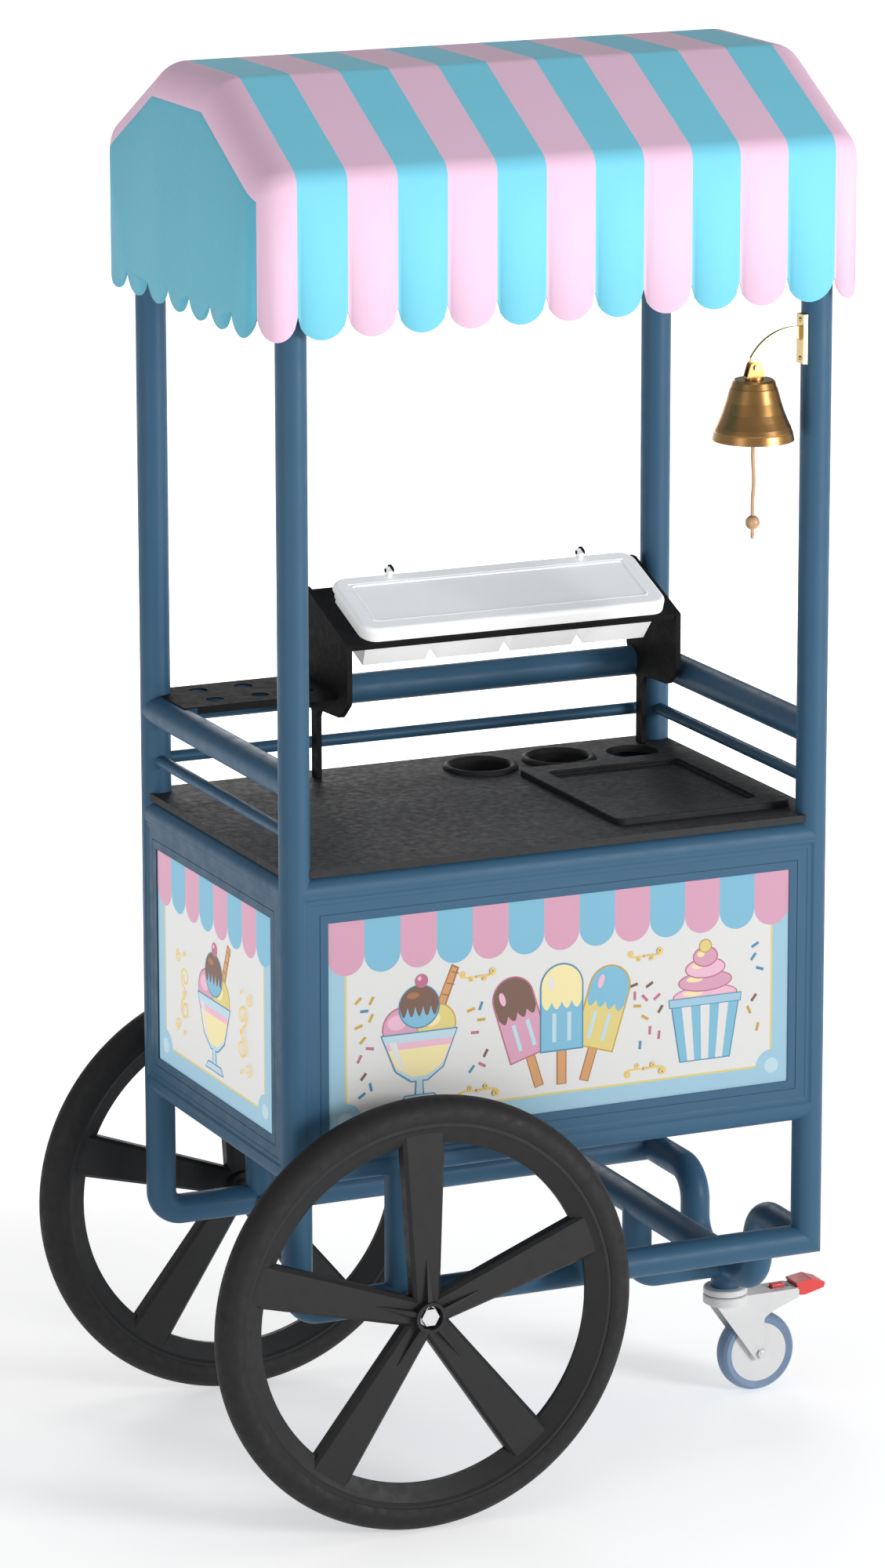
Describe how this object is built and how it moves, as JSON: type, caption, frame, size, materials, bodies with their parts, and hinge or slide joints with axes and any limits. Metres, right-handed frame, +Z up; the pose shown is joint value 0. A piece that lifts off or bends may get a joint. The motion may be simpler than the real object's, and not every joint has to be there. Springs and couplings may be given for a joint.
{
  "type": "ice cream push cart",
  "caption": "Push cart with a panelled cabinet, counter wells, topping rack, bell, striped canopy, spoked side wheels and a braked swivel caster.",
  "frame": {"origin": "on the ground under the middle of the four posts", "axes": "+X from the big wheels towards the caster end, -Y is the customer side, +Z up"},
  "size_m": [1.1479, 0.748, 2.089],
  "materials": {
    "frame_paint": "satin blue paint",
    "dark_sheet": "matt dark powder coat",
    "floor_sheet": "satin blue paint",
    "white_plastic": "white moulded plastic",
    "canopy_cloth": "light blue and pink striped coated cloth",
    "brass": "polished brass",
    "cord": "twisted cord",
    "wood": "turned and varnished",
    "wheel_plastic": "moulded charcoal plastic",
    "tyre_rubber": "solid rubber",
    "bright_steel": "bright plated steel",
    "grey_plastic": "light grey moulded plastic",
    "grey_rubber": "grey-blue rubber",
    "red_plastic": "red moulded plastic"
  },
  "bodies": {
    "cart": {"loop_front": "frame_paint", "post_front": "frame_paint", "loop_rear": "frame_paint", "post_rear": "frame_paint", "cross_tube": "frame_paint", "caster_cradle": "frame_paint", "caster_strut": "frame_paint", "caster_stem": "frame_paint", "rail_top_front": "frame_paint", "rail_top_rear": "frame_paint", "rail_top_left": "frame_paint", "rail_top_right": "frame_paint", "rail_low_front": "frame_paint", "rail_low_rear": "frame_paint", "rail_low_left": "frame_paint", "rail_low_right": "frame_paint", "axle_leg_front": "frame_paint", "axle_leg_rear": "frame_paint", "guard_rear": "frame_paint", "guard_left": "frame_paint", "guard_right": "frame_paint", "guard_small_rear": "frame_paint", "guard_small_left": "frame_paint", "guard_small_right": "frame_paint", "panel_front": "frame_paint", "panel_rear": "frame_paint", "panel_left": "frame_paint", "panel_right": "frame_paint", "canopy_frame": "frame_paint", "countertop": "dark_sheet", "cup_well_left": "dark_sheet", "cup_well_right": "dark_sheet", "tray": "dark_sheet", "cone_holder": "dark_sheet", "rack_side_left": "dark_sheet", "rack_side_right": "dark_sheet", "rack_shelf": "dark_sheet", "cabinet_floor": "floor_sheet", "bins_left": "white_plastic", "bins_right": "white_plastic", "canopy": "canopy_cloth", "bell_bracket": "brass", "axle_front": "bright_steel", "axle_rear": "bright_steel", "caster_head": "grey_plastic"},
    "lid": {"bin_lid": "white_plastic"},
    "bell": {"bell": "brass"},
    "clapper": {"clapper": "brass", "bell_rope": "cord", "rope_bead": "wood"},
    "front_wheel": {"wheel_front": "wheel_plastic", "tyre_front": "tyre_rubber"},
    "rear_wheel": {"wheel_rear": "wheel_plastic", "tyre_rear": "tyre_rubber"},
    "caster_fork": {"caster_fork": "grey_plastic", "caster_axle": "bright_steel", "brake_pedal": "red_plastic", "brake_latch": "red_plastic"},
    "caster_roller": {"caster_wheel": "grey_plastic", "caster_tyre": "grey_rubber"}
  },
  "joints": [
    {"name": "lid_hinge", "type": "hinge", "parent": "cart", "child": "lid", "pos_m": [0.113, 0.23843, 1.28609], "axis": [-1, 0, 0], "range_deg": [0, 70]},
    {"name": "bell_swing", "type": "hinge", "parent": "cart", "child": "bell", "pos_m": [0.311, -0.26175, 1.649], "axis": [0, 1, 0], "range_deg": [-7, 25]},
    {"name": "clapper_swing", "type": "hinge", "parent": "bell", "child": "clapper", "pos_m": [0.311, -0.26175, 1.615], "axis": [0, 1, 0], "range_deg": [-10, 10]},
    {"name": "front_wheel_spin", "type": "hinge", "parent": "cart", "child": "front_wheel", "pos_m": [-0.2494, -0.348, 0.325], "axis": [0, 1, 0], "continuous": true},
    {"name": "rear_wheel_spin", "type": "hinge", "parent": "cart", "child": "rear_wheel", "pos_m": [-0.2494, 0.348, 0.325], "axis": [0, 1, 0], "continuous": true},
    {"name": "caster_swivel", "type": "hinge", "parent": "cart", "child": "caster_fork", "pos_m": [0.4114, 0, 0.15], "axis": [0, 0, 1], "continuous": true},
    {"name": "caster_spin", "type": "hinge", "parent": "caster_fork", "child": "caster_roller", "pos_m": [0.463, 0, 0.0625], "axis": [0, 1, 0], "continuous": true}
  ]
}
